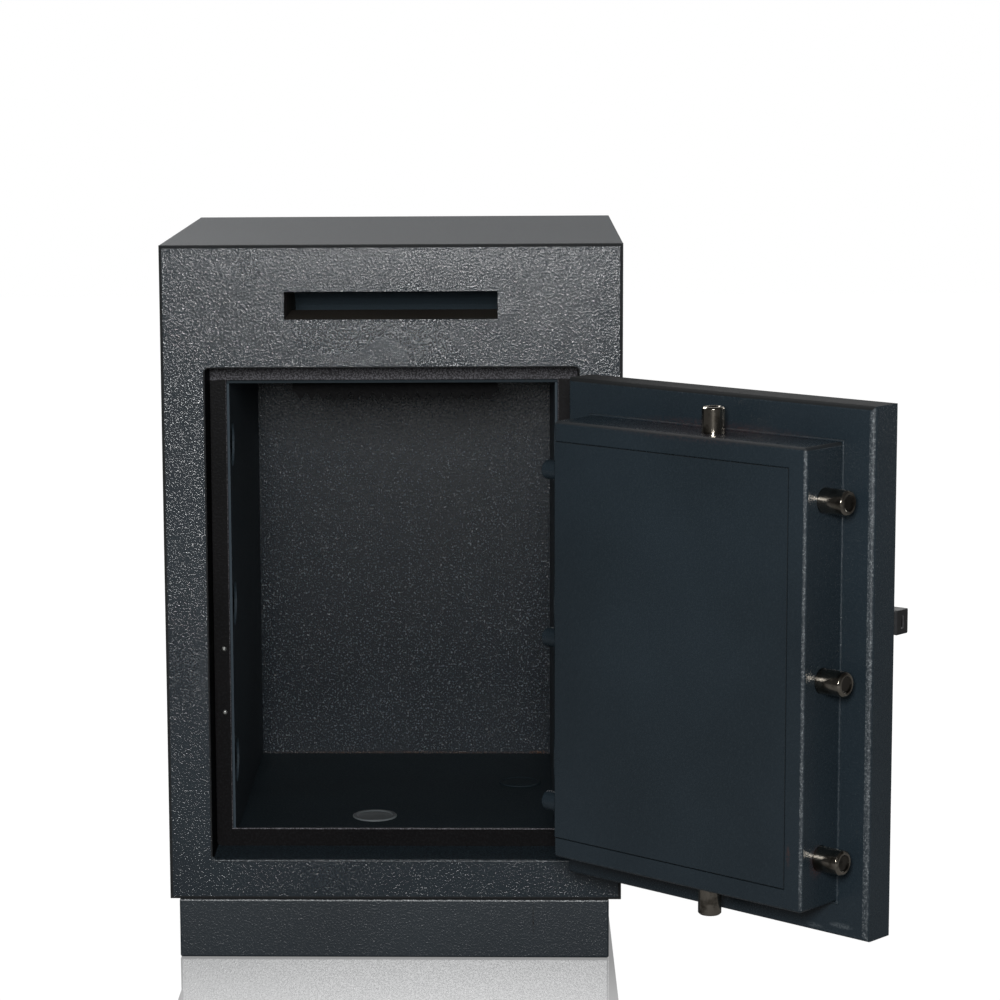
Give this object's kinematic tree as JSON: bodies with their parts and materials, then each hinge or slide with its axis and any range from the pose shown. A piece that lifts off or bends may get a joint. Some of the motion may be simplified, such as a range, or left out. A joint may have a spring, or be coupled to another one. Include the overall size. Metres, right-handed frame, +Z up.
{
  "type": "deposit safe",
  "caption": "Free-standing steel deposit safe on a plinth: letter slot with a toothed drop chute above a recessed, hinged door with sliding bolts, standing open.",
  "frame": {"origin": "centre of the plinth's underside, on the floor", "axes": "+Z up, -Y out of the safe's front, +X to the right seen from the front, where the hinges are"},
  "size_m": [0.7609, 0.8185, 0.7768],
  "materials": {
    "structured_paint": "dark grey structured paint with fine light speckles",
    "smooth_paint": "dark blue-grey paint, fine grain",
    "black_paint": "black paint, semi-gloss",
    "chrome": "turned and chromed",
    "plated_steel": "zinc plated",
    "grey_plastic": "matt",
    "black_handle": "cast, black coated",
    "bronze": "plain bearing metal"
  },
  "bodies": {
    "cabinet": {"plinth": "structured_paint", "body_wrap": "structured_paint", "front_fascia": "structured_paint", "back_plate": "structured_paint", "door_jamb": "black_paint", "ledge_frame": "black_paint", "ledge_screw_lower": "plated_steel", "ledge_screw_upper": "plated_steel", "liner_left": "smooth_paint", "liner_right": "smooth_paint", "liner_floor": "smooth_paint", "liner_ceiling": "smooth_paint", "liner_rear": "structured_paint", "anchor_plug_front": "grey_plastic", "anchor_plug_rear": "grey_plastic", "deposit_tray": "smooth_paint", "deposit_cheek_left": "smooth_paint", "deposit_cheek_right": "smooth_paint", "deposit_hood": "smooth_paint", "anti_fish_comb": "smooth_paint", "hinge_leaf_lower": "structured_paint", "hinge_pin_lower": "plated_steel", "hinge_leaf_upper": "structured_paint", "hinge_pin_upper": "plated_steel"},
    "door": {"hinge_strap_lower": "structured_paint", "hinge_strap_upper": "structured_paint", "door_slab": "smooth_paint", "bolt_box": "smooth_paint", "cover_panel": "smooth_paint", "hinge_dog_lower": "smooth_paint", "hinge_dog_middle": "smooth_paint", "hinge_dog_upper": "smooth_paint", "carriage_stud_lower": "plated_steel", "slide_stud_lower": "plated_steel", "carriage_stud_upper": "plated_steel", "slide_stud_upper": "plated_steel", "handle_rose": "black_handle", "spindle_bush": "bronze", "lock_case": "plated_steel", "keyhole_plate": "chrome"},
    "handle": {"handle_lever": "black_handle", "handle_spindle": "plated_steel", "cam_disc": "plated_steel"},
    "side_bolts": {"side_bolt_lower": "chrome", "side_bolt_middle": "chrome", "side_bolt_upper": "chrome", "side_carriage": "plated_steel"},
    "top_bolt": {"top_bolt": "chrome", "top_slide": "plated_steel"},
    "bottom_bolt": {"bottom_bolt": "chrome", "bottom_slide": "plated_steel"},
    "lock_bolt": {"lock_bolt": "bronze"}
  },
  "joints": [
    {"name": "door_swing", "type": "hinge", "parent": "cabinet", "child": "door", "pos_m": [0.212, -0.2427, 0], "axis": [0, 0, 1], "range_deg": [-138.15, 37]},
    {"name": "handle_turn", "type": "hinge", "parent": "door", "child": "handle", "pos_m": [0.40275, -0.44671, 0.423], "axis": [0.6672, 0.7449, 0], "range_deg": [0, 90]},
    {"name": "side_bolts_slide", "type": "slide", "parent": "door", "child": "side_bolts", "axis": [0.7449, -0.6672, 0], "range_m": [-0.026, 0]},
    {"name": "top_bolt_slide", "type": "slide", "parent": "door", "child": "top_bolt", "axis": [0, 0, 1], "range_m": [-0.026, 0]},
    {"name": "bottom_bolt_slide", "type": "slide", "parent": "door", "child": "bottom_bolt", "axis": [0, 0, -1], "range_m": [-0.026, 0]},
    {"name": "lock_bolt_slide", "type": "slide", "parent": "door", "child": "lock_bolt", "axis": [0.7449, -0.6672, 0], "range_m": [0, 0.01]}
  ],
  "couplings": [
    {"joint": "side_bolts_slide", "follows": "handle_turn", "m_per_rad": -0.01655},
    {"joint": "top_bolt_slide", "follows": "handle_turn", "m_per_rad": -0.01655},
    {"joint": "bottom_bolt_slide", "follows": "handle_turn", "m_per_rad": -0.01655}
  ]
}
